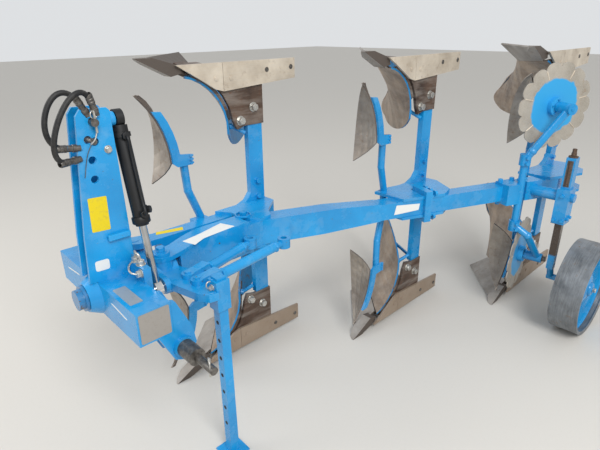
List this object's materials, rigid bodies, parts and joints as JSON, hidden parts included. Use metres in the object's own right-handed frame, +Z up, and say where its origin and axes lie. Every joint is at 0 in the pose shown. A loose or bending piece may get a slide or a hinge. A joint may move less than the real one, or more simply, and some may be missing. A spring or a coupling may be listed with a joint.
{
  "type": "mounted reversible mouldboard plough",
  "caption": "Tractor-mounted turn-over mouldboard plough: headstock with tower, slanting beam, paired bodies with skimmers, notched coulters, depth wheel and parking stand.",
  "frame": {"origin": "middle of the plough's own box, on the floor it is parked on", "axes": "+X is the direction of travel, +Y is left and +Z is up"},
  "size_m": [3.2345, 1.8881, 1.534],
  "materials": {
    "blue_paint": "gloss, scratched",
    "worn_steel": "brown, soil-worn",
    "bare_steel": "scoured by soil",
    "dark_steel": "oily, dull",
    "black_paint": "satin",
    "hose_rubber": "dull black",
    "plated_rod": "polished",
    "wheel_steel": "worn bare"
  },
  "bodies": {
    "headstock": {"tower": "blue_paint", "hose_inner": "hose_rubber", "hose_outer": "hose_rubber", "cross_tube": "blue_paint", "link_bracket_left": "blue_paint", "link_bracket_right": "blue_paint", "link_pin_left": "dark_steel", "link_pin_right": "dark_steel", "top_link_pin": "dark_steel"},
    "turning_frame": {"turnover_shaft": "dark_steel", "turning_head": "blue_paint", "pivot_pin": "blue_paint", "box_arm": "blue_paint", "front_beam": "blue_paint", "rear_beam": "blue_paint", "turnbuckle_inner": "blue_paint", "turnbuckle_outer": "blue_paint", "console_1": "blue_paint", "console_2": "blue_paint", "console_3": "blue_paint", "legs_1": "blue_paint", "legs_2": "blue_paint", "legs_3": "blue_paint", "frogs_1": "worn_steel", "frogs_2": "worn_steel", "frogs_3": "worn_steel", "mouldboards_1": "worn_steel", "mouldboards_2": "worn_steel", "mouldboards_3": "worn_steel", "shares_1": "worn_steel", "shares_2": "worn_steel", "shares_3": "worn_steel", "landsides_1": "bare_steel", "landsides_2": "bare_steel", "landsides_3": "bare_steel", "stays_1": "blue_paint", "stays_2": "blue_paint", "stays_3": "blue_paint", "skimmer_stems_1": "blue_paint", "skimmer_stems_2": "blue_paint", "skimmer_stems_3": "blue_paint", "skimmers_1": "worn_steel", "skimmers_2": "worn_steel", "skimmers_3": "worn_steel", "coulter_post": "blue_paint", "coulter_arm_upper": "blue_paint", "coulter_arm_lower": "blue_paint", "stand_socket": "blue_paint", "wheel_tube": "blue_paint"},
    "ram_barrel": {"ram_barrel": "black_paint"},
    "ram_rod": {"ram_rod": "plated_rod"},
    "stand_leg": {"stand_leg": "blue_paint"},
    "wheel_arm": {"wheel_arm": "blue_paint"},
    "depth_wheel": {"depth_wheel": "wheel_steel"},
    "disc_upper": {"disc_upper": "bare_steel"},
    "disc_lower": {"disc_lower": "bare_steel"}
  },
  "joints": [
    {"name": "turnover", "type": "hinge", "parent": "headstock", "child": "turning_frame", "pos_m": [1.1832, -0.0859, 0.767], "axis": [1, 0, 0], "range_deg": [0, 180]},
    {"name": "ram_swing", "type": "hinge", "parent": "headstock", "child": "ram_barrel", "pos_m": [1.3712, -0.0859, 1.366], "axis": [1, 0, 0], "range_deg": [-11.33, 0]},
    {"name": "ram_slide", "type": "slide", "parent": "ram_barrel", "child": "ram_rod", "axis": [0, -0.1964, 0.9805], "range_m": [0, 0.1319]},
    {"name": "stand_slide", "type": "slide", "parent": "turning_frame", "child": "stand_leg", "axis": [0, 0, 1], "range_m": [0, 0.4]},
    {"name": "wheel_swing", "type": "hinge", "parent": "turning_frame", "child": "wheel_arm", "pos_m": [-0.7068, 0.6991, 0.767], "axis": [0, 1, 0], "range_deg": [-180, 0]},
    {"name": "wheel_spin", "type": "hinge", "parent": "wheel_arm", "child": "depth_wheel", "pos_m": [-0.7418, 0.8691, 0.263], "axis": [0, 1, 0], "continuous": true},
    {"name": "disc_upper_spin", "type": "hinge", "parent": "turning_frame", "child": "disc_upper", "pos_m": [-0.7348, 0.5461, 1.233], "axis": [0.4695, 0.8829, 0], "continuous": true},
    {"name": "disc_lower_spin", "type": "hinge", "parent": "turning_frame", "child": "disc_lower", "pos_m": [-0.7318, 0.5041, 0.352], "axis": [-0.1392, 0.9903, 0], "continuous": true}
  ],
  "couplings": [
    {"joint": "ram_swing", "follows": "ram_slide", "rad_per_m": -1.499}
  ]
}
